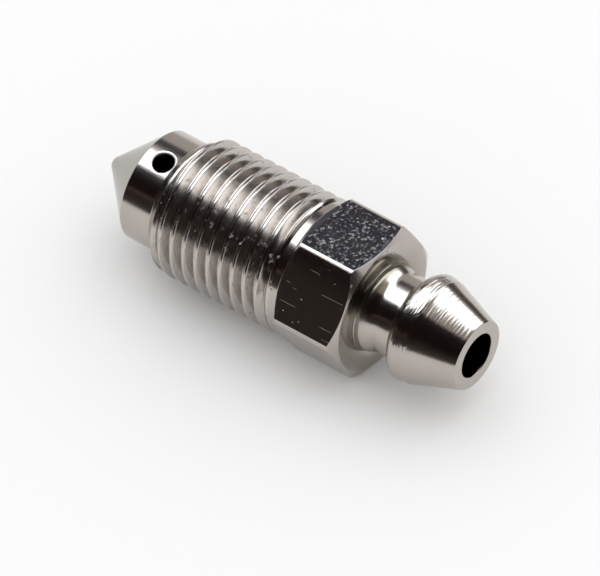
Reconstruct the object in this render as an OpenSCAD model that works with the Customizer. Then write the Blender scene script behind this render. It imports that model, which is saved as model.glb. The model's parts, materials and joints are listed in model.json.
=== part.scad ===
// Bleeder screw: one turned and plated piece with a sealing cone, a threaded
// shank, a hexagon and a hose barb. Lengths in millimetres.
// The screw lies on its side along X, tip at the origin and hose end at +X.
// One side of the hexagon faces down and +Z is up.

/* [Tip and stem] */
// Diameter of the small flat at the point of the sealing cone
tip_flat_d = 0.84; // [0.4:0.02:2]
// Angle between the cone and the axis
seat_angle = 45; // [35:1:60]
// Diameter of the plain stem behind the cone
stem_d = 7.92; // [7.2:0.02:8.3]
// Length of the plain stem
stem_l = 2.38; // [2.1:0.02:4]

/* [Thread] */
// Outside diameter of the thread
thread_d = 9.92; // [9.8:0.02:10.2]
// Distance from one thread to the next
pitch = 1; // [0.8:0.05:1.1]
// Length of the threaded shank with its run-in
thread_l = 10.56; // [8:0.02:16]
// Angle of the run-in cone at the start of the thread
run_in_angle = 45; // [35:1:60]
// Turn of the thread about the axis
thread_turn = 221; // [0:1:360]

/* [Land] */
// Diameter of the smooth land between the thread and the hexagon
land_d = 9.6; // [9.3:0.02:9.66]
// Length of the smooth land
land_l = 0.6; // [0.4:0.01:3]

/* [Hexagon] */
// Width of the hexagon across its flats
across_flats = 9.7; // [9.6:0.02:10.2]
// Diameter the corners of the hexagon are turned to
corner_d = 11; // [10.6:0.02:11]
// Length of the hexagon
hex_l = 5.22; // [4:0.02:9]
// Bevel of the hexagon toward the thread, measured from its end face
thread_side_bevel = 35; // [20:1:45]
// Bevel of the hexagon toward the hose end, measured from its end face
hose_side_bevel = 30; // [15:1:40]

/* [Neck] */
// Diameter of the neck
neck_d = 5.7; // [5.2:0.05:6]
// Length of the neck from the hexagon to the barb
neck_l = 2.55; // [1.6:0.05:5]
// Radius of the first fillet at the hexagon
root_fillet_r = 0.35; // [0.2:0.05:0.5]
// Radius of the second fillet, on the neck itself
neck_fillet_r = 0.5; // [0.4:0.05:0.7]

/* [Hose barb] */
// Diameter the lines of the shoulder and of the crown meet at
barb_d = 7.78; // [7.4:0.02:8.4]
// Angle between the shoulder facing the hexagon and the axis
shoulder_angle = 60; // [45:1:75]
// Rounding between the shoulder and the crown
barb_round_r = 0.6; // [0.3:0.05:0.8]
// Length of the crown, the widest part of the barb
crown_l = 1.15; // [0.8:0.01:2]
// Fall of the crown toward the hose end
crown_angle = 10; // [4:1:12]
// Angle between the long taper and the axis
taper_angle = 19.7; // [12:0.1:22]
// Length of the long taper
taper_l = 3.4; // [2:0.1:4.4]

/* [Bores] */
// Diameter of the bore from the hose end
bore_d = 3.2; // [2:0.1:3.4]
// Distance the full bore reaches past the middle of the cross hole
bore_past_hole = 0.6; // [0.5:0.05:0.8]
// Point angle of the drilled bore
point_angle = 118; // [100:1:140]
// Diameter of the cross hole through the stem
cross_d = 1.5; // [0.8:0.05:1.7]
// Distance from the end of the plain stem back to the middle of the cross hole
cross_back = 0.91; // [0.9:0.01:1.2]
// Turn of the cross hole from straight up toward the front
cross_turn = 17; // [-90:1:90]
// Width of the broken edge around the cross hole
cross_break = 0.15; // [0.1:0.05:0.3]

/* [Hidden] */
steps = 60;
stem_r = stem_d / 2;
crest_r = thread_d / 2;
land_r = land_d / 2;
corner_r = corner_d / 2;
neck_r = neck_d / 2;
barb_r = barb_d / 2;
bore_r = bore_d / 2;
tip_r = tip_flat_d / 2;
cone_l = (stem_r - tip_r) / tan(seat_angle);

// Stations along the axis, from the tip
z_stem = cone_l;
z_thread = z_stem + stem_l;
z_land = z_thread + thread_l;
z_hex = z_land + land_l;
z_face = z_hex + hex_l;
z_barb = z_face + neck_l;
z_crown = z_barb + (barb_r - neck_r) / tan(shoulder_angle);
z_taper = z_crown + crown_l;
z_end = z_taper + taper_l;
crown_end_r = barb_r - crown_l * tan(crown_angle);
end_r = crown_end_r - taper_l * tan(taper_angle);
z_cross = z_thread - cross_back;
z_bore = z_cross - bore_past_hole;

// Thread section: sides at 60 degrees, narrow flat crest, flat root
flank_angle = 30;
crest_flat = pitch / 8;
depth = 0.6134 * pitch;
root_r = crest_r - depth;
root_flat = pitch - crest_flat - 2 * depth * tan(flank_angle);
run_out_turns = 0.7;

// Depth left in the groove where it ends at the land
last_depth = 0.03;

// Length neighbouring bodies reach into each other, and depth of the core under the thread's root
lap = 0.4;
core_r = root_r - 0.3;

// Distance from the flats in to the edge of the hexagon's end face
face_inset = 0.1;

// Width of the flat ring between the two fillets, and depth the first one starts below the face
ring = 0.05;
sink = 0.03;

// Radius of the small flat on the drill's point, and reach of the cutters past the metal
chisel_r = 0.12;
clear = 1;

// Points of an arc from angle a to angle b about (r, z)
function arc(r, z, rad, a, b, n) =
    [for (i = [0:n]) let (t = a + (b - a) * i / n) [r + rad * cos(t), z + rad * sin(t)]];

// Smooth rise from 0 to 1
function rise(t) = let (u = min(max(t, 0), 1)) u * u * (3 - 2 * u);

// Offsets along the axis and radii of the four rows of the thread section
row_z = [-crest_flat / 2, crest_flat / 2, (pitch - root_flat) / 2, (pitch + root_flat) / 2];

// The groove grows shallow over the last turns, as the cutter leaves the work
turns = ceil(thread_l / pitch) + 3;
first_z = z_thread - 1.5 * pitch;
function groove_r(z) =
    root_r + (crest_r - last_depth - root_r) * rise((z - z_land) / (run_out_turns * pitch) + 1);
function row_r(k, z) = k < 2 ? crest_r : groove_r(z);

function thread_points() = concat(
    [for (i = [0:turns * steps], k = [0:3])
        let (a = thread_turn + 360 * i / steps, z = first_z + pitch * i / steps + row_z[k])
        [row_r(k, z) * cos(a), row_r(k, z) * sin(a), z]],
    [[0, 0, first_z - pitch / 2], [0, 0, first_z + pitch * (turns + 0.5)]]);

// Each row joins the next one, and the last row joins the first row one turn on
function vertex(i, k) = k < 4 ? 4 * i + k : 4 * (i + steps);
function thread_faces() = let (m = turns * steps, c0 = 4 * m + 4, c1 = c0 + 1) concat(
    [for (i = [0:m - 1], k = [0:3], half = [0, 1])
        if (k < 3 || i + 1 + steps <= m)
            let (p = vertex(i, k), q = vertex(i + 1, k), s = vertex(i + 1, k + 1), t = vertex(i, k + 1))
            half == 0 ? [p, t, s] : [p, s, q]],
    [for (i = [0:steps - 1]) [vertex(i, 0), vertex(i + 1, 0), c0]],
    [for (k = [0:3]) [vertex(0, k + 1), vertex(0, k), c0]],
    [for (i = [m - steps:m - 1]) [vertex(i + 1, 3), vertex(i, 3), c1]],
    [for (k = [0:2]) [vertex(m, k), vertex(m, k + 1), c1]],
    [[vertex(m - steps, 3), vertex(m, 0), c1]]);

// Sealing cone, plain stem and the core that runs on under the thread
module tip_and_stem() {
    color("Silver")
    rotate_extrude($fn = 96)
    polygon([
        [0, 0],
        [tip_r, 0],
        [stem_r, z_stem],
        [stem_r, z_thread + lap / 2],
        [core_r, z_thread + lap],
        [core_r, z_land + lap],
        [0, z_land + lap]
    ]);
}

// Screw thread: a helical band, cut to the run-in cone and ended at the land
module thread() {
    over_r = crest_r + pitch / 4;
    z_end_cone = z_land + lap / 8;
    color("LightGray")
    intersection() {
        polyhedron(points = thread_points(), faces = thread_faces());
        rotate_extrude($fn = 96)
        polygon([
            [0, z_thread - lap / 2],
            [stem_r - lap / 2 * tan(run_in_angle), z_thread - lap / 2],
            [over_r, z_thread + (over_r - stem_r) / tan(run_in_angle)],
            [over_r, z_end_cone + land_r - over_r],
            [land_r - lap / 2, z_end_cone + lap / 2],
            [0, z_end_cone + lap / 2]
        ]);
    }
}

// Smooth land the thread runs out on, below the hexagon
module land() {
    color("Silver")
    rotate_extrude($fn = 96)
    polygon([
        [0, z_land],
        [land_r, z_land],
        [land_r, z_hex + lap / 2],
        [0, z_hex + lap / 2]
    ]);
}

// Hexagon with its corners turned round and both ends bevelled
module hexagon() {
    foot = land_l / 2;
    face_r = across_flats / 2 - face_inset;
    color("DarkGray")
    intersection() {
        translate([0, 0, z_hex - foot - clear])
        rotate([0, 0, 30])
        cylinder(h = hex_l + foot + 2 * clear, d = across_flats / cos(30), $fn = 6);
        rotate_extrude($fn = 96)
        polygon([
            [0, z_hex - foot],
            [land_r - foot / tan(thread_side_bevel), z_hex - foot],
            [corner_r, z_hex + (corner_r - land_r) * tan(thread_side_bevel)],
            [corner_r, z_face - (corner_r - face_r) * tan(hose_side_bevel)],
            [face_r, z_face],
            [0, z_face]
        ]);
    }
}

// Two small fillets and the neck, then the barb a hose is pushed over
module hose_end() {
    step_r = neck_r + neck_fillet_r / 2;
    z_step = z_face + root_fillet_r + ring;
    half = (shoulder_angle + crown_angle) / 2;
    cut = barb_round_r * tan(half);
    round_r0 = barb_r - cut * sin(shoulder_angle) - barb_round_r * cos(shoulder_angle);
    round_z0 = z_crown - cut * cos(shoulder_angle) + barb_round_r * sin(shoulder_angle);
    color("Silver")
    rotate_extrude($fn = 96)
    polygon(concat(
        [[0, z_face - lap]],
        [[step_r + ring + root_fillet_r, z_face - lap]],
        arc(step_r + ring + root_fillet_r, z_face + root_fillet_r - sink, root_fillet_r, -90, -180, 6),
        [[step_r + ring, z_step]],
        arc(neck_r + neck_fillet_r, z_step + neck_fillet_r * sin(60), neck_fillet_r, -120, -180, 6),
        [[neck_r, z_barb]],
        arc(round_r0, round_z0, barb_round_r, -shoulder_angle, crown_angle, 8),
        [[crown_end_r, z_taper]],
        [[end_r, z_end]],
        [[0, z_end]]));
}

// Blind bore from the hose end, with the drill's point and its small flat
module axial_bore() {
    point_l = (bore_r - chisel_r) / tan(point_angle / 2);
    rotate_extrude($fn = 96)
    polygon([
        [0, z_bore - point_l],
        [chisel_r, z_bore - point_l],
        [bore_r, z_bore],
        [bore_r, z_end + clear],
        [0, z_end + clear]
    ]);
}

// Countersink that breaks the edge of the cross hole, straight above its cone
module countersink() {
    low = stem_r - cross_break;
    high = stem_r + sink;
    wide_r = cross_d / 2 + high - low;
    rotate_extrude($fn = 64)
    polygon([
        [0, low],
        [cross_d / 2, low],
        [wide_r, high],
        [wide_r, stem_r + clear],
        [0, stem_r + clear]
    ]);
}

// Cross hole through both walls of the stem, edges broken
module cross_hole() {
    translate([0, 0, z_cross])
    rotate([0, 0, 180 + cross_turn])
    rotate([0, 90, 0]) {
        translate([0, 0, -stem_r - clear])
        cylinder(h = 2 * (stem_r + clear), d = cross_d, $fn = 64);
        for (side = [0, 180])
            rotate([side, 0, 0])
            countersink();
    }
}

module bleeder_screw() {
    rotate([0, 90, 0])
    difference() {
        union() {
            tip_and_stem();
            thread();
            land();
            hexagon();
            hose_end();
        }
        axial_bore();
        cross_hole();
    }
}

bleeder_screw();
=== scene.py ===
"""Bleeder screw: a plated screw with a sealing cone, a threaded shank, a hexagon and a hose barb.

The screw lies on its side along X, the point of its sealing cone at the origin. Four closed surfaces
stand for the one turned piece: the tip with its cross hole, the threaded shank, the land with the
hexagon, and the hose end with the bore. They reach into each other under the visible surface.
Lengths are in metres and angles in radians. An angle round the axis is measured from +Y toward +Z.
"""
import json
import math
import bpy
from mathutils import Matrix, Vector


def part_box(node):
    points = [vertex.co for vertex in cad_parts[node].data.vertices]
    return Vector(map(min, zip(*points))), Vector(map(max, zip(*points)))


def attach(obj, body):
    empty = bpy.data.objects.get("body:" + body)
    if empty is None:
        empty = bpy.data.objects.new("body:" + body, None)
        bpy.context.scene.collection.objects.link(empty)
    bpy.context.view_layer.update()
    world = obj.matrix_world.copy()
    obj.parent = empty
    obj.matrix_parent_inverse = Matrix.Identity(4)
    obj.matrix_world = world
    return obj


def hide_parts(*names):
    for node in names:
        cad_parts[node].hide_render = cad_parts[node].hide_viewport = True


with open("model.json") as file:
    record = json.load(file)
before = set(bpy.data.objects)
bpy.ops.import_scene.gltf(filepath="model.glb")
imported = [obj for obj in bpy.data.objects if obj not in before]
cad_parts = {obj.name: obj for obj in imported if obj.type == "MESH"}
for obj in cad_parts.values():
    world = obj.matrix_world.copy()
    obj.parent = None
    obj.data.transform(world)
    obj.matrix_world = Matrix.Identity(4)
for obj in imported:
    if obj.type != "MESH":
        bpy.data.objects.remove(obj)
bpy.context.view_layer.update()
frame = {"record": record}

from types import SimpleNamespace

import bmesh
import bpy
import numpy as np
from bpy.props import FloatProperty, FloatVectorProperty, PointerProperty
from mathutils import Matrix, Vector

bl_info = {
    "name": "Bleeder Screw",
    "version": (1, 0, 0),
    "blender": (4, 5, 0),
    "location": "View3D > Sidebar > Bleeder Screw",
    "description": "Builds a plated bleeder screw and the stage it is photographed on",
    "category": "Add Mesh",
}

MM = 0.001
NODE = "bleeder_screw"
LOW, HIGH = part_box(NODE)
MOUNTS = {mount["name"]: mount for mount in frame["record"]["mounts"]}
LENGTH = HIGH[0]
CORNER_R = HIGH[1]

# Points closer than this are one point
JOIN = 1e-5 * MM


def mount_size(mount, size):
    """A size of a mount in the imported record, in millimetres."""
    return MOUNTS[mount]["dims"][size]


def length(name, text, default, low, high):
    """A length in a property group, given in millimetres and kept in metres."""
    return FloatProperty(
        name=name, description=text, default=default * MM, min=low * MM, max=high * MM,
        precision=5, unit="LENGTH", subtype="DISTANCE")


def angle(name, text, default, low, high):
    """An angle in a property group, given in degrees and kept in radians."""
    return FloatProperty(
        name=name, description=text, default=math.radians(default), min=math.radians(low),
        max=math.radians(high), unit="ROTATION", subtype="ANGLE")


def share(name, text, default, low=0.0, high=1.0):
    """A plain number in a property group."""
    return FloatProperty(name=name, description=text, default=default, min=low, max=high)


def colour(name, text, default):
    """A colour in a property group."""
    return FloatVectorProperty(
        name=name, description=text, default=default, min=0.0, max=1.0, size=3, subtype="COLOR")


class TipSizes(bpy.types.PropertyGroup):
    """Sealing cone, plain stem and cross hole."""

    flat_r: length("Tip Flat", "Radius of the flat at the point of the cone", 0.42, 0.1, 1)
    seat_angle: angle("Seat Angle", "Angle between the sealing cone and the axis", 45, 35, 60)
    stem_r: length("Stem", "Radius of the plain stem", mount_size("stem", "r_mm"), 3, 4.3)
    stem_l: length("Stem Length", "Length of the stem", mount_size("stem", "length_mm"), 1, 4)
    cross_r: length("Cross Hole", "Radius of the hole through the stem", 0.75, 0.4, 0.85)
    cross_back: length("Cross Hole Setback", "From the stem's end to the middle of the hole", 0.91, 0.9, 1.2)
    cross_turn: angle("Cross Hole Turn", "Turn of the hole from straight up to the front", 17, -90, 90)
    cross_edge: length("Cross Hole Edge", "Width of the rounded edge round the hole", 0.15, 0.02, 0.3)
    bore_past: length("Bore Reach", "Full bore past the middle of the cross hole", 0.6, 0.5, 0.8)
    point_angle: angle("Drill Point", "Point angle of the drilled bore", 118, 100, 140)


class ThreadSizes(bpy.types.PropertyGroup):
    """Screw thread."""

    crest_r: length("Crest", "Radius to the thread's crest", mount_size("thread", "r_mm"), 4, 6)
    shank_l: length("Length", "Length of the threaded shank", mount_size("thread", "length_mm"), 8, 16)
    pitch: length("Pitch", "Distance from one thread to the next", 1.0, 0.8, 1.1)
    depth: length("Depth", "Depth of the groove", 0.6134, 0.3, 0.65)
    crest_flat: length("Crest Flat", "Width of the flat crest", 0.17, 0.05, 0.3)
    crest_round: length("Crest Rounding", "Rounding of the crest's edges", 0.05, 0.01, 0.1)
    root_round: length("Root Rounding", "Rounding at the bottom of the groove", 0.09, 0.01, 0.1)
    phase: length("Phase", "Station of a crest on the +Y side, within one pitch", 0.056, 0, 1)
    run_in: angle("Run-in", "Angle of the cone the thread starts on", 45, 35, 60)
    run_out: share("Run-out", "Turns over which the groove grows shallow at its end", 0.7, 0.3, 2)


class HexagonSizes(bpy.types.PropertyGroup):
    """Smooth land and hexagon."""

    land_r: length("Land", "Radius of the smooth land below the hexagon", 4.8, 4.65, 4.83)
    land_l: length("Land Length", "Length of the smooth land", 0.6, 0.4, 3)
    flat_r: length("Flat", "From the axis to a flat", mount_size("hexagon", "r_mm"), 4, 6)
    corner_r: length("Corner", "Radius the corners are turned to", CORNER_R / MM, 4, 7)
    hex_l: length("Length", "Length of the hexagon", mount_size("hexagon", "length_mm"), 4, 9)
    thread_bevel: angle("Thread Bevel", "Bevel toward the thread, from the end face", 35, 20, 45)
    hose_bevel: angle("Hose Bevel", "Bevel toward the hose end, from the end face", 30, 15, 40)
    face_inset: length("Face Inset", "From a flat in to the end face's edge", 0.1, 0.02, 0.5)
    dull: length("Edge Rounding", "Rounding of the hexagon's edges", 0.04, 0.005, 0.1)


class HoseEndSizes(bpy.types.PropertyGroup):
    """Neck, hose barb and bore."""

    neck_r: length("Neck", "Radius of the neck", 2.85, 2.5, 3.1)
    neck_l: length("Neck Length", "From the hexagon to the barb", 2.55, 1.6, 5)
    step_r: length("Step", "Radius of the small step at the hexagon", 3.15, 3, 3.5)
    step_l: length("Step Length", "Length of the small step at the hexagon", 0.4, 0.2, 0.8)
    barb_r: length("Barb", "Radius the shoulder and crown lines meet at", 3.89, 3.6, 4.3)
    shoulder: angle("Shoulder", "Angle between the shoulder and the axis", 60, 45, 75)
    crown_l: length("Crown Length", "Length of the widest part", 1.15, 0.6, 2)
    crown: angle("Crown", "Fall of the crown toward the hose end", 10, 2, 14)
    crown_round: length("Crown Rounding", "Rounding between shoulder and crown", 0.6, 0.2, 0.8)
    taper: angle("Taper", "Angle between the long taper and the axis", 19.7, 12, 24)
    bore_r: length("Bore", "Radius of the bore", mount_size("bore", "r_mm"), 1, 1.8)


class PlatingLook(bpy.types.PropertyGroup):
    """Colours and gloss of the plating."""

    bright: colour("Plating", "Colour of the bright plating", (0.47, 0.428, 0.392))
    worn: colour("Rubbed Plating", "Colour where the plating has been rubbed", (0.40, 0.36, 0.33))
    cone: colour("Cone", "Colour of the sealing cone", (0.335, 0.31, 0.285))
    rolled: colour("Thread", "Colour of the bright thread", (0.58, 0.55, 0.525))
    root_tint: colour("Thread Root", "Colour of the plating at the bottom of the thread", (0.40, 0.36, 0.33))
    rim: colour("Hole Rim", "Colour of the brushed rim of the cross hole", (0.95, 0.94, 0.93))
    # Painted shade: a darker, cooler colour for the flat that faces up, not for the other five
    top: colour("Top Flat", "Colour of the hexagon's pitted flat", (0.42, 0.41, 0.43))
    # Painted shade: a dark yellowish colour that dims the highlight on the upper side of the corner at the neck
    corner: colour("Neck Corner", "Colour of the plating in the corner at the neck", (0.20, 0.185, 0.13))
    # Painted shade: a dark colour inside the holes that stands in for the shade there
    hole: colour("Inside of Holes", "Colour of the dull wall inside the holes", (0.10, 0.075, 0.068))
    roughness: share("Roughness", "Roughness of the plating", 0.17)


class StageSetup(bpy.types.PropertyGroup):
    """Camera, floor, lamp and the cards that reflections show."""

    azimuth: angle("Azimuth", "Camera's turn round the screw", 37.613, 0, 360)
    elevation: angle("Elevation", "Camera's height above the horizon", 44.153, 0, 90)
    distance: length("Distance", "From the camera to the aim", 600, 100, 2000)
    aim: length("Aim", "Station of the aim on the screw's axis", 14.684, 0, 30)
    across: length("Across", "Place of the aim across the picture", -0.6413, -5, 5)
    upward: length("Upward", "Place of the aim up the picture", 2.0998, -5, 5)
    lens: share("Lens", "Focal length in millimetres on a 36 mm sensor", 547.6, 10, 2000)
    floor: colour("Floor", "Colour of the floor", (0.96, 0.96, 0.96))
    lamp: share("Lamp", "Radiance of the softbox on the stage", 0.28, 0, 20)
    fill: share("Fill", "Radiance of the white surroundings on the stage", 0.94, 0, 2)
    shine: share("Softbox Front", "Radiance of the softbox in reflections", 3.9, 0, 20)
    cool: colour("Softbox Tint", "Tint of the softbox in reflections", (0.88, 0.94, 1.0))
    dark: colour("Camera Side", "Dark room on the camera's side", (0.010, 0.0055, 0.005))
    table: colour("Table Edge", "Edge of the table on the camera's side", (0.040, 0.033, 0.031))
    strip: colour("Strip", "Faint lighter strip in the dark room", (0.10, 0.075, 0.07))
    glint: colour("Side Window", "Pale side window on the right", (0.9, 0.9, 0.95))
    dim: colour("Dim Window", "Dim area before the softbox", (0.40, 0.36, 0.33))
    backdrop: colour("Backdrop", "Backdrop behind the screw", (0.60, 0.57, 0.56))
    gap: colour("Gap", "Dark gap behind the softbox", (0.05, 0.05, 0.065))
    edge: colour("Backdrop Edge", "Dark edge of the backdrop on the right", (0.08, 0.065, 0.06))


def scene_sizes():
    """The property groups of the current scene."""
    scene = bpy.context.scene
    return SimpleNamespace(
        tip=scene.screw_tip, thread=scene.screw_thread, hexagon=scene.screw_hexagon,
        hose=scene.screw_hose, look=scene.screw_look, stage=scene.screw_stage)


def stations():
    """Stations along the axis from the tip, each worked out from the one before it."""
    s = scene_sizes()
    at = SimpleNamespace()
    at.stem = (s.tip.stem_r - s.tip.flat_r) / math.tan(s.tip.seat_angle)
    at.thread = at.stem + s.tip.stem_l
    at.land = at.thread + s.thread.shank_l
    at.hexagon = at.land + s.hexagon.land_l
    at.face = at.hexagon + s.hexagon.hex_l
    at.barb = at.face + s.hose.neck_l
    at.crown = at.barb + (s.hose.barb_r - s.hose.neck_r) / math.tan(s.hose.shoulder)
    at.taper = at.crown + s.hose.crown_l
    at.end = LENGTH
    at.cross = at.thread - s.tip.cross_back
    at.bore = at.cross - s.tip.bore_past
    at.tip_back = at.thread + 0.3 * MM
    at.shank_front = at.tip_back - 0.02 * MM
    return at


# Shapes shared by all pieces

def rise(t):
    """Smooth rise from 0 to 1: 3 t squared minus 2 t cubed."""
    u = np.clip(t, 0.0, 1.0)
    return u * u * (3.0 - 2.0 * u)


def smooth_min(a, b, width):
    """The smaller of two heights, with the edge where they cross rounded over the given width."""
    h = np.clip(0.5 + 0.5 * (b - a) / width, 0.0, 1.0)
    return b * (1.0 - h) + a * h - width * h * (1.0 - h)


def rounded_line(corners, radii, steps=4, guard=0.03 * MM):
    """A line through corners, each of them turned by an arc that touches both its sides.

    An arc starts radius * tan(turn / 2) before its corner. After turning by t it is at
    start + radius * sin(t) * along + radius * (1 - cos(t)) * across. A guard point before and after
    each arc keeps the straight stretches flat where the shading is smooth. The last two axes of
    corners are the corner and its two coordinates, and axes before them are separate lines.
    """
    corners = np.asarray(corners, dtype=float)
    radii = np.asarray(radii, dtype=float)
    sides = np.diff(corners, axis=-2)
    lengths = np.linalg.norm(sides, axis=-1)
    along = sides / lengths[..., None]
    before, after = along[..., :-1, :], along[..., 1:, :]
    turn = np.arccos(np.clip((before * after).sum(-1), -1.0, 1.0))
    across = after - (before * after).sum(-1)[..., None] * before
    across = across / np.maximum(np.linalg.norm(across, axis=-1), 1e-12)[..., None]
    cut = radii * np.tan(turn / 2)
    none = np.zeros_like(lengths[..., :1])
    left = lengths - np.concatenate([none, cut], -1) - np.concatenate([cut, none], -1)
    guards = np.minimum(guard, 0.4 * np.maximum(left, 0.0))
    out = [corners[..., :1, :]]
    t = turn[..., None] * np.linspace(0.0, 1.0, steps + 1)
    for i in range(radii.shape[-1]):
        corner = corners[..., i + 1, None, :]
        d, n = before[..., i, None, :], across[..., i, None, :]
        start = corner - cut[..., i, None, None] * d
        end = corner + cut[..., i, None, None] * after[..., i, None, :]
        arc = start + radii[i] * (
            np.sin(t[..., i, :, None]) * d + (1.0 - np.cos(t[..., i, :, None])) * n)
        out += [start - guards[..., i, None, None] * d, arc,
                end + guards[..., i + 1, None, None] * after[..., i, None, :]]
    out.append(corners[..., -1:, :])
    return np.concatenate(out, axis=-2)


def divided(line, longest):
    """A line of (x, r) points with its long stretches divided evenly, so no step is over longest."""
    counts = np.maximum(np.ceil(np.linalg.norm(np.diff(line, axis=0), axis=1) / longest), 1).astype(int)
    number = np.repeat(np.arange(len(counts)), counts)
    first = np.repeat(np.cumsum(counts) - counts, counts)
    part = (np.arange(counts.sum()) - first) / counts[number]
    points = line[number] + part[:, None] * (line[number + 1] - line[number])
    return np.vstack([points, line[-1:]])


def around(x, r, turn):
    """Points at station x, distance r from the axis and angle turn: (x, r cos(turn), r sin(turn))."""
    x, r, turn = np.broadcast_arrays(x, r, turn)
    return np.stack([x, r * np.cos(turn), r * np.sin(turn)], axis=-1)


def grid_faces(numbers):
    """Four-cornered faces between neighbouring rows and columns of an array of point numbers."""
    a, b = numbers[:-1, :-1], numbers[:-1, 1:]
    c, d = numbers[1:, 1:], numbers[1:, :-1]
    return np.stack([a, b, c, d], axis=-1).reshape(-1, 4)


def wrapped(numbers):
    """Point numbers with the first column repeated after the last, for a closed surface."""
    return np.concatenate([numbers, numbers[:, :1]], axis=1)


def make_piece(name, points, faces, material):
    """A closed smooth mesh from points and four-cornered faces.

    Points that coincide are joined. A face that loses one corner is kept as a triangle, and one that
    loses two is dropped. The faces are then turned outward.
    """
    keys = np.round(points / JOIN).astype(np.int64)
    _, first, number = np.unique(keys, axis=0, return_index=True, return_inverse=True)
    faces = number.reshape(-1)[faces]
    points = points[first]
    same = faces == np.roll(faces, -1, axis=1)
    lost = same.sum(axis=1)
    quads = faces[lost == 0]
    triangles = faces[lost == 1][~same[lost == 1]].reshape(-1, 3)
    mesh = bpy.data.meshes.new(name)
    mesh.vertices.add(len(points))
    mesh.vertices.foreach_set("co", points.astype(np.float32).ravel())
    corners = np.concatenate([quads.ravel(), triangles.ravel()]).astype(np.int32)
    mesh.loops.add(len(corners))
    mesh.loops.foreach_set("vertex_index", corners)
    starts = np.concatenate([np.arange(len(quads)) * 4, quads.size + np.arange(len(triangles)) * 3])
    mesh.polygons.add(len(starts))
    mesh.polygons.foreach_set("loop_start", starts.astype(np.int32))
    mesh.polygons.foreach_set("use_smooth", np.ones(len(starts), dtype=bool))
    mesh.update(calc_edges=True)
    work = bmesh.new()
    work.from_mesh(mesh)
    bmesh.ops.delete(work, geom=[v for v in work.verts if not v.link_faces], context="VERTS")
    bmesh.ops.recalc_face_normals(work, faces=work.faces)
    open_edges = sum(not e.is_manifold for e in work.edges)
    work.to_mesh(mesh)
    work.free()
    if open_edges:
        raise RuntimeError(f"{name} has {open_edges} open edges")
    mesh.materials.append(material)
    piece = bpy.data.objects.new(name, mesh)
    bpy.context.collection.objects.link(piece)
    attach(piece, "root")
    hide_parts(NODE)
    return piece


# Sealing tip

def cross_hole_rings(hole, surface, edge_x, edge_turn, theta, radius, steps):
    """Rings that blend a rectangle's edge into a circle round the cross hole, on a turned surface.

    In the plane across the hole's axis a ring point is (1 - u) * edge + u * circle, with u from 0 to
    1. It is then lifted onto the surface: height = sqrt(r(x) squared - sideways squared).
    """
    edge = np.stack([edge_x - hole.x, surface(edge_x) * np.sin(edge_turn)], axis=-1)
    circle = radius[:, None] * np.stack([np.cos(theta), np.sin(theta)], axis=-1)
    u = np.linspace(0.0, 1.0, steps + 1)[1:, None, None]
    flat = (1.0 - u) * edge + u * circle
    return flat, hole_height(hole, surface, flat)


def hole_height(hole, surface, flat):
    """Height of a turned surface over points of the plane across the cross hole."""
    r = surface(hole.x + flat[..., 0])
    return np.sqrt(np.maximum(r * r - flat[..., 1] ** 2, 0.0))


def hole_points(hole, flat, height):
    """Points from their place in the plane across the cross hole and their height along its axis."""
    out_y, out_z = math.cos(hole.turn), math.sin(hole.turn)
    y = height * out_y - flat[..., 1] * out_z
    z = height * out_z + flat[..., 1] * out_y
    return np.stack([hole.x + flat[..., 0], y, z], axis=-1)


def window_edge(rows, columns):
    """Numbers of the rows and columns on the edge of a rectangle, once round and not closed."""
    r0, r1 = rows[0], rows[-1]
    c0, c1 = columns[0], columns[-1]
    up, over = np.arange(r0, r1), np.arange(c0, c1)
    down, back = np.arange(r1, r0, -1), np.arange(c1, c0, -1)
    row = np.concatenate([up, np.full(len(over), r1), down, np.full(len(back), r0)])
    column = np.concatenate([np.full(len(up), c0), over, np.full(len(down), c1), back])
    return row, column


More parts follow.
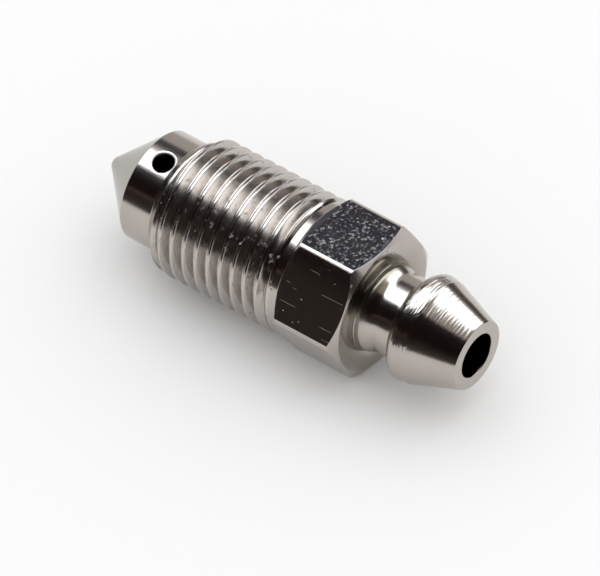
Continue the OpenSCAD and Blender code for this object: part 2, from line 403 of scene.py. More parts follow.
def sealing_tip():
    """Sealing cone, stem and start of the run-in, with the bore's blind end and the cross hole.

    One line of (x, r) points runs from the axis over the cone and stem, in at the back, and along
    the bore to the drill's point. It is carried round the axis. Two rectangles in the stem and two
    in the bore's wall are left open, and rings round each mouth of the cross hole fill them.
    """
    s = scene_sizes()
    at = stations()
    tip = s.tip
    run_in = math.tan(s.thread.run_in)
    back_r = tip.stem_r + (at.tip_back - at.thread) * run_in
    inner_r = s.thread.crest_r - s.thread.depth - 1.2 * MM
    outer = rounded_line(
        [(0, 0), (0, tip.flat_r), (at.stem, tip.stem_r), (at.thread, tip.stem_r),
         (at.tip_back, back_r), (at.tip_back, inner_r)],
        np.array([0.08, 0.05, 0.1, 0.004]) * MM)
    outer = divided(outer, 0.1 * MM)
    window_front = at.cross - 1.05 * MM
    window_back = at.tip_back - 0.03 * MM
    facing = outer[:, 1] > tip.stem_r - 0.2 * MM
    rows_out = np.flatnonzero((outer[:, 0] > window_front) & (outer[:, 0] < window_back) & facing)
    span = len(rows_out) - 1

    point_l = s.hose.bore_r / math.tan(tip.point_angle / 2)
    bore_x = np.concatenate([
        [at.tip_back], np.linspace(window_back, at.bore - 0.5 * MM, span + 1),
        np.linspace(at.bore - 0.5 * MM, at.bore - point_l, 6)[1:]])
    bore_r = np.minimum(s.hose.bore_r, (bore_x - at.bore + point_l) * math.tan(tip.point_angle / 2))
    bore_r[-1] = 0.0
    inner = np.stack([bore_x, bore_r], axis=-1)
    line = np.vstack([outer, inner])
    rows_in = len(outer) + 1 + np.arange(span + 1)

    cells = 16
    between = 44
    step = np.linspace(-1.0, 1.0, cells + 1)
    sector_out = math.radians(16.5)
    sector_in = math.radians(36.0)
    half = np.where(np.arange(len(line)) < len(outer), sector_out, sector_in)[:, None]
    hole_turn = math.pi / 2 + tip.cross_turn
    near = half * step[:-1]
    gap = (math.pi - 2 * half) * np.linspace(0.0, 1.0, between + 1)[:-1] + half
    turns = hole_turn + np.concatenate([near, gap, near + math.pi, gap + math.pi], axis=1)
    columns = turns.shape[1]
    points = around(line[:, :1], line[:, 1:], turns).reshape(-1, 3)
    numbers = np.arange(len(points)).reshape(len(line), columns)
    ring_numbers = wrapped(numbers)
    faces = grid_faces(ring_numbers).reshape(len(line) - 1, columns, 4)
    keep = np.ones((len(line) - 1, columns), dtype=bool)
    first_columns = (0, cells + between)
    for first in first_columns:
        for rows in (rows_out, rows_in):
            keep[rows[0]:rows[-1], first:first + cells] = False
    all_points = [points]
    all_faces = [faces[keep]]

    def stem_surface(x):
        return np.interp(x, outer[rows_out[0] - 1:rows_out[-1] + 2, 0],
                         outer[rows_out[0] - 1:rows_out[-1] + 2, 1])

    def bore_surface(x):
        return np.interp(x, inner[::-1, 0], inner[::-1, 1])

    for side, first in enumerate(first_columns):
        hole = SimpleNamespace(x=at.cross, turn=hole_turn + side * math.pi)
        column_range = np.arange(first, first + cells + 1)
        row, column = window_edge(rows_out, column_range)
        edge_x = line[row, 0]
        place = (column - first) / cells * 2.0 - 1.0
        theta = np.arctan2(stem_surface(edge_x) * np.sin(place * sector_out), edge_x - hole.x)
        width = np.full(len(theta), tip.cross_edge)
        rim = tip.cross_r + width
        flat, height = cross_hole_rings(
            hole, stem_surface, edge_x, place * sector_out, theta, rim, 6)
        outside = hole_points(hole, flat, height)

        # The rounded edge: a quarter turn from the surface into the hole
        t = np.linspace(0.0, math.pi / 2, 6)[1:, None]
        ray = np.stack([np.cos(theta), np.sin(theta)], axis=-1)
        rolled = (rim - width * np.sin(t))[..., None] * ray
        mouth = hole_height(hole, stem_surface, rolled)
        lip = hole_points(hole, rolled, mouth - width * (1.0 - np.cos(t)))

        # The tube, from the mouth down to the bore's wall
        wall = tip.cross_r * ray
        top = mouth[-1] - width
        bottom = hole_height(hole, bore_surface, wall)
        u = np.linspace(0.0, 1.0, 7)[1:, None]
        tube = hole_points(hole, np.broadcast_to(wall, (len(u),) + wall.shape), top * (1 - u) + bottom * u)

        # Inside, the same rings run backward from the circle to the rectangle in the bore's wall
        mirror_row = rows_in[0] + (rows_out[-1] - row)
        in_x = line[mirror_row, 0]
        in_flat, in_height = cross_hole_rings(
            hole, bore_surface, in_x, place * sector_in, theta, np.full(len(theta), tip.cross_r), 4)
        inside = hole_points(hole, in_flat, in_height)[::-1][1:]
        rings = np.concatenate([outside, lip, tube, inside])
        start = sum(len(p) for p in all_points)
        ring_ids = start + np.arange(rings.shape[0] * rings.shape[1]).reshape(rings.shape[:2])
        ids = np.vstack([ring_numbers[row, column % columns][None], ring_ids,
                         ring_numbers[mirror_row, column % columns][None]])
        all_points.append(rings.reshape(-1, 3))
        all_faces.append(grid_faces(wrapped(ids)))
    return np.vstack(all_points), np.vstack(all_faces)


# Threaded shank

def thread_section(thread):
    """Offsets along the axis and depths of the thread's section, from one crest to the next.

    Half a section runs level along the crest, down the side at 60 degrees to the axis and level
    along the root, with both corners rounded. The other half mirrors it.
    """
    fall = thread.depth * math.tan(math.radians(30))
    half_flat = thread.crest_flat / 2
    half = rounded_line(
        [(0, 0), (half_flat, 0), (half_flat + fall, thread.depth), (thread.pitch / 2, thread.depth)],
        [thread.crest_round, thread.root_round])
    offset = np.concatenate([half[:, 0], thread.pitch - half[-2:0:-1, 0]])
    depth = np.concatenate([half[:, 1], half[-2:0:-1, 1]])
    return offset, depth


def shank_radius(x, depth, at, s):
    """Radius of the threaded shank at station x where the full groove would be this deep.

    The groove starts on the run-in cone, keeps its depth and grows shallow before the land. The
    run-in cone and a short cone down to the land cap it, with dull edges.
    """
    thread = s.thread
    grow = rise((x - at.shank_front) / (0.2 * MM))
    fade = 1.0 - rise((x - at.land) / (thread.run_out * thread.pitch) + 1.0)
    groove = thread.crest_r - depth * grow * fade
    run_in = s.tip.stem_r + (x - at.thread) * math.tan(thread.run_in) - 0.002 * MM
    run_out = s.hexagon.land_r + 0.6 * (at.land + 0.05 * MM - x)
    dull = 0.03 * MM
    return smooth_min(smooth_min(groove, run_in, dull), run_out, dull)


def threaded_shank():
    """Thread as one sheet whose rows follow the helix.

    Row m at angle a lies at station first + pitch * a / (2 pi) + offset(m), so each row is a line of
    constant place in the thread's section, and a full turn meets the row one pitch on. Stations past
    either end are drawn back to it, which closes the sheet on a plain circle.
    """
    s = scene_sizes()
    at = stations()
    thread = s.thread
    offset, depth = thread_section(thread)
    first = thread.phase + math.floor((at.shank_front - thread.phase) / thread.pitch - 1) * thread.pitch
    end = at.land + 0.15 * MM
    turns = int(math.ceil((end - first) / thread.pitch)) + 1
    row_x = (np.arange(turns)[:, None] * thread.pitch + offset).ravel()
    row_depth = np.tile(depth, turns)[:, None]
    columns = 150
    a = np.linspace(0.0, 2 * math.pi, columns + 1)
    x = np.clip(first + row_x[:, None] + thread.pitch * a / (2 * math.pi), at.shank_front, end)
    r = shank_radius(x, row_depth, at, s)
    sheet = around(x, r, a)
    sheet[:, -1] = around(x[:, -1], r[:, -1], 0.0)
    inner_r = 3.0 * MM
    back = around(np.array([[end], [at.shank_front]]), inner_r, a)
    back[:, -1] = back[:, 0]
    grid = np.concatenate([sheet, back, sheet[:1]])
    numbers = np.arange(grid.shape[0] * grid.shape[1]).reshape(grid.shape[:2])
    return grid.reshape(-1, 3), grid_faces(numbers)


# Hexagon

def hexagon_body():
    """Land and hexagon: at each angle a line of (x, r) points runs along the surface.

    The side of the hexagon is at flat / cos(angle from the side's middle), held to the turned corner.
    The bevels start at the land and at the end face and rise to that height, so their edges bow as a
    cone's cut by a flat does.
    """
    s = scene_sizes()
    at = stations()
    hexagon = s.hexagon
    off = np.array([0, 6, 12, 18, 22, 25, 26.6, 27.3, 27.7, 28.0, 28.2, 28.5, 28.9, 29.4])
    corner_off = np.concatenate([-off[:0:-1], off, [30]])
    turn = np.radians(90 + np.concatenate([60 * k + corner_off for k in range(6)]))
    side = np.radians(np.tile(corner_off, 6))
    side_r = smooth_min(hexagon.flat_r / np.cos(side), hexagon.corner_r, hexagon.dull)
    land_front = at.land - 0.1 * MM
    inner_r = 2.4 * MM
    face_r = hexagon.flat_r - hexagon.face_inset
    up = at.hexagon + (side_r - hexagon.land_r) * math.tan(hexagon.thread_bevel)
    down = at.face - (side_r - face_r) * math.tan(hexagon.hose_bevel)
    corners = np.stack([
        np.stack([np.full_like(side_r, land_front), np.full_like(side_r, inner_r)], -1),
        np.stack([np.full_like(side_r, land_front), np.full_like(side_r, hexagon.land_r)], -1),
        np.stack([np.full_like(side_r, at.hexagon), np.full_like(side_r, hexagon.land_r)], -1),
        np.stack([up, side_r], -1),
        np.stack([down, side_r], -1),
        np.stack([np.full_like(side_r, at.face), np.full_like(side_r, face_r)], -1),
        np.stack([np.full_like(side_r, at.face), np.full_like(side_r, inner_r)], -1),
    ], axis=-2)
    dull = hexagon.dull
    lines = rounded_line(corners, [dull, 0.06 * MM, dull, dull, 0.6 * dull])
    x, r = lines[..., 0].T, lines[..., 1].T
    grid = around(x, r, turn)
    numbers = np.arange(grid.shape[0] * grid.shape[1]).reshape(grid.shape[:2])
    closed = np.vstack([numbers, numbers[:1]])
    return grid.reshape(-1, 3), grid_faces(wrapped(closed))


# Hose end

def hose_end():
    """Neck, barb and bore: one closed line of (x, r) points carried round the axis."""
    s = scene_sizes()
    at = stations()
    hose = s.hose
    wall = 0.3 * MM
    sink = 0.03 * MM
    hidden = at.face - 0.4 * MM
    flange = hose.step_r + 0.45 * MM
    step_back = at.face + hose.step_l
    taper_r = hose.barb_r - hose.crown_l * math.tan(hose.crown)
    end_r = taper_r - (at.end - at.taper) * math.tan(hose.taper)
    line = rounded_line(
        [(at.tip_back, hose.bore_r), (at.tip_back, hose.bore_r + wall), (hidden, hose.bore_r + wall),
         (hidden, flange), (at.face - sink, flange), (at.face - sink, hose.step_r),
         (step_back, hose.step_r), (step_back + 0.7 * MM, hose.neck_r), (at.barb, hose.neck_r),
         (at.crown, hose.barb_r), (at.taper, taper_r), (at.end, end_r),
         (at.end, hose.bore_r), (at.tip_back, hose.bore_r)],
        np.array([0.02, 0.02, 0.02, 0.02, 0.1, 0.6, 1.2, 0.06,
                  hose.crown_round / MM, 0.15, 0.06, 0.05]) * MM, steps=6)
    line = divided(line[:-1], 0.8 * MM)
    line = np.vstack([line, line[:1]])
    turn = np.linspace(0.0, 2 * math.pi, 193)[:-1]
    grid = around(line[:, :1], line[:, 1:], turn)
    numbers = np.arange(grid.shape[0] * grid.shape[1]).reshape(grid.shape[:2])
    return grid.reshape(-1, 3), grid_faces(wrapped(numbers))


# Finishes

# Distance between neighbouring tool marks on the barb in millimetres, measured along and outward
TOOL_FEED = 0.17


class Nodes:
    """Short ways to add and join the nodes of one material."""

    def __init__(self, name):
        self.material = bpy.data.materials.new(name)
        self.material.use_nodes = True
        self.tree = self.material.node_tree
        self.shader = self.tree.nodes["Principled BSDF"]

    def add(self, kind, **settings):
        """A node of this kind with these settings."""
        node = self.tree.nodes.new(kind)
        for key, value in settings.items():
            setattr(node, key, value)
        return node

    def put(self, value, socket):
        """Sets a socket from a number or colour, or joins it to another node's output."""
        if hasattr(value, "links"):
            self.tree.links.new(value, socket)
        elif isinstance(value, (int, float)):
            socket.default_value = value
        else:
            socket.default_value = (*value, 1.0)

    def math(self, operation, *values):
        """A plain sum of sockets and numbers."""
        node = self.add("ShaderNodeMath", operation=operation)
        for value, socket in zip(values, node.inputs):
            self.put(value, socket)
        return node.outputs[0]

    def vector(self, x, y, z):
        """A vector of three sockets or numbers."""
        node = self.add("ShaderNodeCombineXYZ")
        for value, socket in zip((x, y, z), node.inputs):
            self.put(value, socket)
        return node.outputs[0]

    def noise(self, vector, scale, detail=2.0, roughness=0.5):
        """Soft noise from about 0.3 to 0.7."""
        node = self.add("ShaderNodeTexNoise")
        self.put(vector, node.inputs["Vector"])
        self.put(scale, node.inputs["Scale"])
        self.put(detail, node.inputs["Detail"])
        self.put(roughness, node.inputs["Roughness"])
        return node.outputs["Fac"]

    def cells(self, vector, scale):
        """Distance to the middle of the nearest of many scattered cells."""
        node = self.add("ShaderNodeTexVoronoi")
        self.put(vector, node.inputs["Vector"])
        self.put(scale, node.inputs["Scale"])
        return node.outputs["Distance"]

    def between(self, value, low, high):
        """0 at low and 1 at high, with a smooth rise between them."""
        node = self.add("ShaderNodeMapRange", interpolation_type="SMOOTHSTEP")
        self.put(value, node.inputs["Value"])
        self.put(low, node.inputs["From Min"])
        self.put(high, node.inputs["From Max"])
        return node.outputs["Result"]

    def inside(self, value, low, high, soft):
        """1 from low to high and 0 outside, with a soft edge at both ends."""
        up = self.between(value, low - soft, low + soft)
        down = self.math("SUBTRACT", 1.0, self.between(value, high - soft, high + soft))
        return self.math("MULTIPLY", up, down)

    def blend(self, amount, first, second):
        """A colour between two others."""
        node = self.add("ShaderNodeMix", data_type="RGBA")
        self.put(amount, node.inputs["Factor"])
        self.put(first, [i for i in node.inputs if i.name == "A" and i.type == "RGBA"][0])
        self.put(second, [i for i in node.inputs if i.name == "B" and i.type == "RGBA"][0])
        return [o for o in node.outputs if o.type == "RGBA"][0]


def screw_place(nodes):
    """Place on the screw in millimetres: the point, its x, y and z, and the distance from the axis."""
    scaled = nodes.add("ShaderNodeVectorMath", operation="SCALE")
    nodes.put(1.0 / MM, scaled.inputs["Scale"])
    nodes.put(nodes.add("ShaderNodeTexCoord").outputs["Object"], scaled.inputs[0])
    split = nodes.add("ShaderNodeSeparateXYZ")
    nodes.put(scaled.outputs[0], split.inputs[0])
    x, y, z = split.outputs
    squares = nodes.math("ADD", nodes.math("MULTIPLY", y, y), nodes.math("MULTIPLY", z, z))
    return SimpleNamespace(point=scaled.outputs[0], x=x, y=y, z=z, radius=nodes.math("SQRT", squares))


def even_plating(nodes, at, orange_peel=0.0016):
    """The finish all pieces share: bright plating with slow waves and smudged gloss."""
    look = scene_sizes().look
    smudge = nodes.noise(at.point, 0.6, 4.0, 0.6)
    rubbed = nodes.math("MULTIPLY", nodes.between(smudge, 0.45, 0.75), 0.35)
    return SimpleNamespace(
        tint=nodes.blend(rubbed, look.bright, look.worn),
        rough=nodes.math("MULTIPLY_ADD", smudge, 0.10, look.roughness - 0.05),
        heights=[(nodes.noise(at.point, 1.3, 2.0, 0.5), orange_peel)])


def turning_rings(nodes, at, pitch, wander=0.35):
    """Rings left by the turning tool: noise read along the axis and the radius only.

    pitch is the width of one ring in millimetres. wander breaks the rings up round the axis.
    """
    across = nodes.math("MULTIPLY", nodes.math("ADD", at.y, at.z), wander)
    along = nodes.math("MULTIPLY", at.x, 1.0 / pitch)
    outward = nodes.math("MULTIPLY", at.radius, 1.0 / pitch)
    return nodes.noise(nodes.vector(along, outward, across), 1.0, 2.0, 0.55)


def scattered_nicks(nodes, at, scale, size, spread=0.8, amount=0.52):
    """Small dents at the middles of scattered cells, in the places where slow noise is above amount."""
    middle = nodes.cells(at.point, scale)
    dent = nodes.math("SUBTRACT", 1.0, nodes.between(middle, 0.2 * size, size))
    chosen = nodes.between(nodes.noise(at.point, spread, 1.0), amount, amount + 0.05)
    return nodes.math("SUBTRACT", 1.0, nodes.math("MULTIPLY", dent, chosen))


def finished(nodes, plate):
    """Joins the colour, the roughness and a chain of bumps to the shader."""
    nodes.put(plate.tint, nodes.shader.inputs["Base Color"])
    nodes.put(plate.rough, nodes.shader.inputs["Roughness"])
    nodes.shader.inputs["Metallic"].default_value = 1.0
    normal = None
    for height, depth in plate.heights:
        bump = nodes.add("ShaderNodeBump")
        bump.inputs["Distance"].default_value = depth * MM
        bump.inputs["Strength"].default_value = 1.0
        nodes.put(height, bump.inputs["Height"])
        if normal is not None:
            nodes.put(normal, bump.inputs["Normal"])
        normal = bump.outputs["Normal"]
    nodes.put(normal, nodes.shader.inputs["Normal"])
    return nodes.material


def tip_finish():
    """Smooth turned cone and stem, a brushed rim round the cross hole and painted shade inside the holes."""
    look = scene_sizes().look
    hole_x = stations().cross / MM
    turn = math.pi / 2 + scene_sizes().tip.cross_turn
    nodes = Nodes("Plated tip")
    at = screw_place(nodes)
    plate = even_plating(nodes, at)
    plate.heights.append((turning_rings(nodes, at, 0.09), 0.0005))
    sideways = nodes.math("SUBTRACT", nodes.math("MULTIPLY", at.z, math.cos(turn)),
                          nodes.math("MULTIPLY", at.y, math.sin(turn)))
    lengthways = nodes.math("SUBTRACT", at.x, hole_x)
    from_hole = nodes.math("SQRT", nodes.math("ADD", nodes.math("MULTIPLY", lengthways, lengthways),
                                              nodes.math("MULTIPLY", sideways, sideways)))
    on_cone = nodes.math("SUBTRACT", 1.0, nodes.between(at.x, 3.48, 3.56))
    plate.tint = nodes.blend(on_cone, plate.tint, look.cone)
    rim = nodes.inside(from_hole, 0.755, 0.92, 0.015)
    # Painted shade inside the cross hole and the bore: everything behind the cone that is nearer the axis than the
    # stem
    behind_cone = nodes.between(at.x, 3.56, 3.6)
    deep = nodes.math("MULTIPLY", nodes.math("SUBTRACT", 1.0, nodes.between(at.radius, 3.3, 3.75)), behind_cone)
    plate.rough = nodes.math("ADD", plate.rough, nodes.math("MULTIPLY", rim, 0.35))
    plate.tint = nodes.blend(rim, plate.tint, look.rim)
    plate.tint = nodes.blend(deep, plate.tint, look.hole)
    return finished(nodes, plate)


def thread_finish():
    """Thread with dull roots, bright crests and a few nicks on the crests."""
    look = scene_sizes().look
    nodes = Nodes("Plated thread")
    at = screw_place(nodes)
    plate = even_plating(nodes, at, 0.001)
    plate.tint = nodes.blend(0.5, plate.tint, look.rolled)
    nicks = nodes.between(nodes.noise(at.point, 2.2, 3.0, 0.65), 0.64, 0.70)
    plate.heights.append((nodes.math("SUBTRACT", 1.0, nicks), 0.03))
    mottle = nodes.between(nodes.noise(at.point, 1.6, 4.0, 0.65), 0.42, 0.62)
    # Darker, mottled, slightly rougher plating toward the bottom of the groove
    root = nodes.math("SUBTRACT", 1.0, nodes.between(at.radius, 4.42, 4.85))
    darker_root = nodes.math("MULTIPLY", root, nodes.math("MULTIPLY_ADD", mottle, 0.6, 0.35))
    plate.tint = nodes.blend(darker_root, plate.tint, look.root_tint)
    plate.rough = nodes.math("ADD", plate.rough, nodes.math("MULTIPLY", darker_root, 0.08))
    return finished(nodes, plate)


def hexagon_finish():
    """Drawn flats: a mirror with fine lines along the bar, and a top flat pitted all over, with painted shade that
    makes it darker and cooler.
    """
    look = scene_sizes().look
    at_station = stations()
    nodes = Nodes("Plated hexagon")
    at = screw_place(nodes)
    plate = even_plating(nodes, at, 0.0006)
    bar = nodes.vector(nodes.math("MULTIPLY", at.x, 0.35), nodes.math("MULTIPLY", at.y, 7.0),
                       nodes.math("MULTIPLY", at.z, 7.0))
    lines = nodes.between(nodes.noise(bar, 1.0, 1.0, 0.5), 0.68, 0.74)
    on_side = nodes.inside(at.x, at_station.hexagon / MM + 0.45, at_station.face / MM - 0.2, 0.1)
    flat_z = scene_sizes().hexagon.flat_r / MM
    top = nodes.math("MULTIPLY", nodes.between(at.z, flat_z - 0.03, flat_z - 0.005),
                     nodes.inside(at.y, -2.5, 2.5, 0.05))
    plain_side = nodes.math("SUBTRACT", on_side, top)
    plate.heights.append((nodes.math("MULTIPLY", lines, plain_side), 0.0034))
    pits = nodes.between(nodes.noise(at.point, 4.2, 4.0, 0.65), 0.52, 0.78)
    plate.heights.append((nodes.math("MULTIPLY", nodes.math("MULTIPLY", pits, top), on_side), 0.0075))
    plate.heights.append((scattered_nicks(nodes, at, 1.7, 0.18, 0.5, 0.5), 0.014))
    plate.rough = nodes.math("SUBTRACT", plate.rough, nodes.math("MULTIPLY", on_side, 0.05))
    # Painted shade on the flat that faces up: its colour is darker and cooler than the other flats
    plate.tint = nodes.blend(nodes.math("MULTIPLY", top, 0.8), plate.tint, look.top)
    return finished(nodes, plate)


def hose_end_finish():
    """Turned neck and barb: coarser rings on the shoulder and crown, a rougher corner at the hexagon with painted
    shade on its upper side, and painted shade inside the bore.
    """
    look = scene_sizes().look
    at_station = stations()
    nodes = Nodes("Plated hose end")
    at = screw_place(nodes)
    plate = even_plating(nodes, at, 0.0016)
    on_barb = nodes.between(at.x, at_station.barb / MM, at_station.barb / MM + 0.2)
    off_face = nodes.math("SUBTRACT", 1.0, nodes.between(at.x, at_station.end / MM - 0.1, at_station.end / MM - 0.02))
    rings = nodes.math("MULTIPLY", turning_rings(nodes, at, 0.12, 0.5), nodes.math("MULTIPLY", on_barb, off_face))
    plate.heights.append((rings, 0.014))
    on_crown = nodes.inside(at.x, at_station.barb / MM, at_station.taper / MM + 0.2, 0.15)
    coarse = nodes.math("MULTIPLY", turning_rings(nodes, at, 0.16, 0.9), on_crown)
    plate.heights.append((coarse, 0.05))
    marks = nodes.math("MULTIPLY", nodes.math("ADD", at.x, at.radius), 2 * math.pi / TOOL_FEED)
    even = nodes.math("MULTIPLY_ADD", nodes.math("SINE", marks), 0.5, 0.5)
    patchy = nodes.between(nodes.noise(at.point, 0.7, 2.0), 0.35, 0.65)
    even = nodes.math("MULTIPLY", nodes.math("MULTIPLY", even, patchy), nodes.math("MULTIPLY", on_barb, off_face))
    plate.heights.append((even, 0.006))
    plate.heights.append((turning_rings(nodes, at, 0.07), 0.0006))
    corner = nodes.inside(at.x, at_station.face / MM, at_station.face / MM + 0.65, 0.15)
    # Painted shade on the upper side of the corner, where it dims the highlight
    painted_corner_shade = nodes.math("MULTIPLY", corner, nodes.between(at.z, 1.0, 2.4))
    plate.tint = nodes.blend(nodes.math("MULTIPLY", painted_corner_shade, 0.85), plate.tint, look.corner)
    plate.rough = nodes.math("ADD", plate.rough, nodes.math("MULTIPLY", corner, 0.08))
    # Painted shade inside the bore, short of its open end
    deep = nodes.math("SUBTRACT", 1.0, nodes.between(at.radius, 1.61, 1.65))
    inner = nodes.math("MULTIPLY", deep, nodes.math("SUBTRACT", 1.0, nodes.between(at.x, 29.93, 29.99)))
    plate.tint = nodes.blend(inner, plate.tint, look.hole)
    return finished(nodes, plate)


# Stage

def studio_axes():
    """Unit directions across the picture to the right, away from the camera and straight up."""
    a = scene_sizes().stage.azimuth
    across = np.array([math.cos(a), math.sin(a), 0.0])
    away = np.array([-math.sin(a), math.cos(a), 0.0])
    return across, away, np.array([0.0, 0.0, 1.0])


def glow_material(name, glow):
    """A card that shows one radiance, whatever falls on it."""
    material = bpy.data.materials.new(name)
    material.use_nodes = True
    tree = material.node_tree
    tree.nodes.clear()
    shine = tree.nodes.new("ShaderNodeEmission")
    shine.inputs["Color"].default_value = (*glow, 1.0)
    out = tree.nodes.new("ShaderNodeOutputMaterial")
    tree.links.new(shine.outputs[0], out.inputs["Surface"])
    return material


def reflected_only(name, points, faces, glow):
    """A stage card from points and faces that shows in reflections and nowhere else."""
    mesh = bpy.data.meshes.new(name)
    mesh.from_pydata(points.tolist(), [], faces)
    mesh.materials.append(glow_material(name, glow))
    sheet = bpy.data.objects.new(name, mesh)
    bpy.context.collection.objects.link(sheet)
    sheet.visible_camera = False
    sheet.visible_diffuse = False
    sheet.visible_shadow = False


def dome_card(name, radius, turn, lean, glow):
    """Part of a dome over the screw, between two turns and two leans from straight up, in degrees.

    A point is radius * (sin(lean) * (cos(turn) * across + sin(turn) * away) + cos(lean) * up).
    """
    across, away, up = studio_axes()
    t = np.radians(np.linspace(*turn, 25))[None, :, None]
    s = np.radians(np.linspace(*lean, 13))[:, None, None]
    grid = radius * (np.sin(s) * (np.cos(t) * across + np.sin(t) * away) + np.cos(s) * up)
    grid = grid + np.array([LENGTH / 2, 0.0, 0.0])
    numbers = np.arange(grid.shape[0] * grid.shape[1]).reshape(grid.shape[:2])
    reflected_only(name, grid.reshape(-1, 3), grid_faces(numbers).tolist(), glow)


def overhead_card(name, height, outline, glow):
    """A flat card overhead. Its corners are given as leans from straight up, across and away."""
    across, away, up = studio_axes()
    leans = np.radians(np.array(outline, dtype=float))
    size = np.linalg.norm(leans, axis=1, keepdims=True)
    flat = height * np.tan(size) * leans / size
    points = flat[:, :1] * across + flat[:, 1:] * away + height * up
    points = points + np.array([LENGTH / 2, 0.0, 0.0])
    reflected_only(name, points, [list(range(len(points)))], glow)


def softbox(name, lean, distance, size, radiance):
    """A square soft lamp that lights the stage. lean gives its place across and away, in degrees."""
    across, away, up = studio_axes()
    a, b = np.tan(np.radians(lean))
    back = a * across + b * away + up
    back = Vector(back / np.linalg.norm(back))
    light = bpy.data.lights.new(name, "AREA")
    light.shape = "SQUARE"
    light.size = size
    light.energy = radiance * math.pi * size * size
    lamp = bpy.data.objects.new(name, light)
    bpy.context.collection.objects.link(lamp)
    right = Vector(across)
    top = back.cross(right).normalized()
    right = top.cross(back)
    turn = Matrix((right, top, back)).transposed().to_4x4()
    lamp.matrix_world = Matrix.Translation(Vector((LENGTH / 2, 0.0, 0.0)) + distance * back) @ turn
    lamp.visible_camera = False
    lamp.visible_glossy = False


def pale_world(fill):
    """White surroundings for the camera, reflections and glass, and a weaker fill for the rest."""
    world = bpy.data.worlds.new("Pale surroundings")
    world.use_nodes = True
    tree = world.node_tree
    tree.nodes.clear()
    rays = tree.nodes.new("ShaderNodeLightPath")
    shown = rays.outputs["Is Camera Ray"]
    for kind in ("Is Glossy Ray", "Is Transmission Ray"):
        either = tree.nodes.new("ShaderNodeMath")
        either.operation = "MAXIMUM"
        tree.links.new(shown, either.inputs[0])
        tree.links.new(rays.outputs[kind], either.inputs[1])
        shown = either.outputs[0]
    mix = tree.nodes.new("ShaderNodeMixShader")
    tree.links.new(shown, mix.inputs["Fac"])
    for socket, strength in ((mix.inputs[1], fill), (mix.inputs[2], 1.0)):
        background = tree.nodes.new("ShaderNodeBackground")
        background.inputs["Color"].default_value = (1.0, 1.0, 1.0, 1.0)
        background.inputs["Strength"].default_value = strength
        tree.links.new(background.outputs[0], socket)
    out = tree.nodes.new("ShaderNodeOutputWorld")
    tree.links.new(mix.outputs[0], out.inputs["Surface"])
    bpy.context.scene.world = world


def floor_sheet(tint):
    """A large pale floor at the screw's lowest point."""
    reach = 3.0
    z = LOW[2]
    corners = [(-reach, -reach, z), (reach, -reach, z), (reach, reach, z), (-reach, reach, z)]
    mesh = bpy.data.meshes.new("floor")
    mesh.from_pydata(corners, [], [(0, 1, 2, 3)])
    material = bpy.data.materials.new("Pale floor")
    material.use_nodes = True
    shader = material.node_tree.nodes["Principled BSDF"]
    shader.inputs["Base Color"].default_value = (*tint, 1.0)
    shader.inputs["Roughness"].default_value = 0.9
    shader.inputs["Specular IOR Level"].default_value = 0.0
    mesh.materials.append(material)
    sheet = bpy.data.objects.new("floor", mesh)
    bpy.context.collection.objects.link(sheet)


def aim_camera(setup):
    """The camera's place: the aim plus distance along its own axis, less the two shifts."""
    a, e = setup.azimuth, setup.elevation
    back = Vector((math.sin(a) * math.cos(e), -math.cos(a) * math.cos(e), math.sin(e)))
    right = Vector((0.0, 0.0, 1.0)).cross(back).normalized()
    up = back.cross(right)
    aim = Vector((setup.aim, 0.0, 0.0))
    data = bpy.data.cameras.new("Camera")
    data.lens = setup.lens
    data.sensor_width = 36.0
    data.clip_start = 0.01
    data.clip_end = 10.0
    camera = bpy.data.objects.new("Camera", data)
    bpy.context.collection.objects.link(camera)
    place = aim + back * setup.distance - right * setup.across - up * setup.upward
    camera.matrix_world = Matrix.Translation(place) @ Matrix((right, up, back)).transposed().to_4x4()
    bpy.context.scene.camera = camera


# Operators, one for each piece and one for the stage

class SCREW_OT_sealing_tip(bpy.types.Operator):
    """Builds the sealing cone, the stem and the cross hole."""

    bl_idname = "screw.sealing_tip"
    bl_label = "Sealing Tip"

    def execute(self, context):
        make_piece("sealing_tip", *sealing_tip(), tip_finish())
        return {"FINISHED"}


class SCREW_OT_threaded_shank(bpy.types.Operator):
    """Builds the screw thread."""

    bl_idname = "screw.threaded_shank"
    bl_label = "Threaded Shank"

    def execute(self, context):
        make_piece("threaded_shank", *threaded_shank(), thread_finish())
        return {"FINISHED"}


class SCREW_OT_hexagon(bpy.types.Operator):
    """Builds the land and the hexagon."""

    bl_idname = "screw.hexagon"
    bl_label = "Hexagon"

    def execute(self, context):
        make_piece("hexagon", *hexagon_body(), hexagon_finish())
        return {"FINISHED"}


class SCREW_OT_hose_end(bpy.types.Operator):
    """Builds the neck, the hose barb and the bore."""

    bl_idname = "screw.hose_end"
    bl_label = "Hose End"

    def execute(self, context):
        make_piece("hose_end", *hose_end(), hose_end_finish())
        return {"FINISHED"}


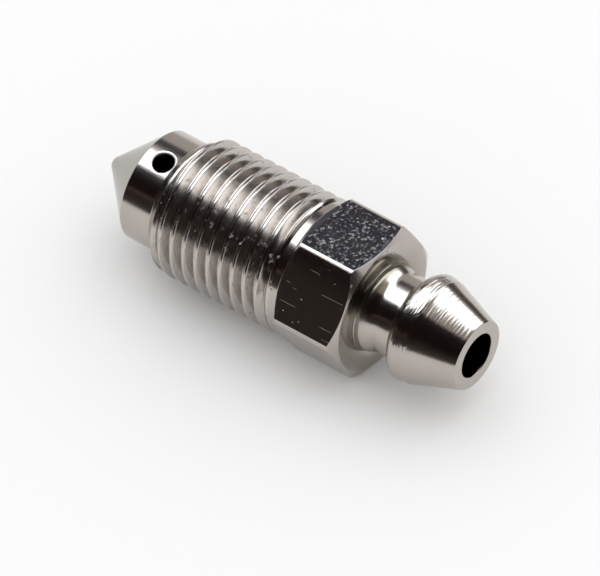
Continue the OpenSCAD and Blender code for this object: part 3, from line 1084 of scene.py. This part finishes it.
class SCREW_OT_stage(bpy.types.Operator):
    """Sets up the floor, the lamp, the cards and the camera."""

    bl_idname = "screw.stage"
    bl_label = "Stage"

    def execute(self, context):
        setup = scene_sizes().stage
        context.scene.view_settings.view_transform = "Standard"
        floor_sheet(setup.floor)
        pale_world(setup.fill)
        softbox("Softbox", (4.0, 14.0), 0.5, 0.62, setup.lamp)
        bright = [setup.shine * part for part in setup.cool]
        overhead_card("softbox_front", 0.36, SOFTBOX_OUTLINE, bright)
        dome_card("camera_side", 0.85, (135.0, 400.0), (0.0, 90.6), setup.dark)
        dome_card("table_edge", 0.055, (150.0, 330.0), (78.0, 95.1), setup.table)
        dome_card("strip", 0.80, (185.0, 240.0), (70.0, 75.0), setup.strip)
        dome_card("side_window", 0.80, (335.0, 363.0), (60.0, 91.0), setup.glint)
        overhead_card("dim_window", 0.40, DIM_OUTLINE, setup.dim)
        dome_card("backdrop", 0.85, (40.0, 135.0), (0.0, 90.6), setup.backdrop)
        dome_card("gap_behind_softbox", 0.80, (80.0, 112.0), (40.0, 57.0), setup.gap)
        dome_card("backdrop_edge", 0.80, (40.0, 64.0), (70.0, 90.6), setup.edge)
        aim_camera(setup)
        return {"FINISHED"}


# Corners of the softbox over the screw, as leans in degrees across and away from the camera
SOFTBOX_OUTLINE = (
    (-48, 10), (-34, 3), (-19, -10), (-8, -12), (4, -5), (18, 5), (40, 10), (54, 38), (48, 50), (34, 50), (24, 36),
    (8, 31), (-8, 32), (-36, 22))

# Corners of the dim area on its near side
DIM_OUTLINE = ((-10, -10), (4, -24), (30, -26), (44, -6), (40, 10), (4, 4))


class VIEW3D_PT_bleeder_screw(bpy.types.Panel):
    """Lists the pieces of the screw and the stage."""

    bl_label = "Bleeder Screw"
    bl_space_type = "VIEW_3D"
    bl_region_type = "UI"
    bl_category = "Bleeder Screw"

    def draw(self, context):
        for operator in OPERATORS:
            self.layout.operator(operator.bl_idname)


GROUPS = {
    "screw_tip": TipSizes,
    "screw_thread": ThreadSizes,
    "screw_hexagon": HexagonSizes,
    "screw_hose": HoseEndSizes,
    "screw_look": PlatingLook,
    "screw_stage": StageSetup,
}
OPERATORS = (
    SCREW_OT_sealing_tip,
    SCREW_OT_threaded_shank,
    SCREW_OT_hexagon,
    SCREW_OT_hose_end,
    SCREW_OT_stage,
)


def register():
    for group in GROUPS.values():
        bpy.utils.register_class(group)
    for operator in OPERATORS:
        bpy.utils.register_class(operator)
    bpy.utils.register_class(VIEW3D_PT_bleeder_screw)
    for name, group in GROUPS.items():
        setattr(bpy.types.Scene, name, PointerProperty(type=group))


def unregister():
    for name in GROUPS:
        delattr(bpy.types.Scene, name)
    bpy.utils.unregister_class(VIEW3D_PT_bleeder_screw)
    for operator in reversed(OPERATORS):
        bpy.utils.unregister_class(operator)
    for group in reversed(list(GROUPS.values())):
        bpy.utils.unregister_class(group)


def main():
    register()
    bpy.ops.screw.sealing_tip()
    bpy.ops.screw.threaded_shank()
    bpy.ops.screw.hexagon()
    bpy.ops.screw.hose_end()
    bpy.ops.screw.stage()


if __name__ == "__main__":
    main()
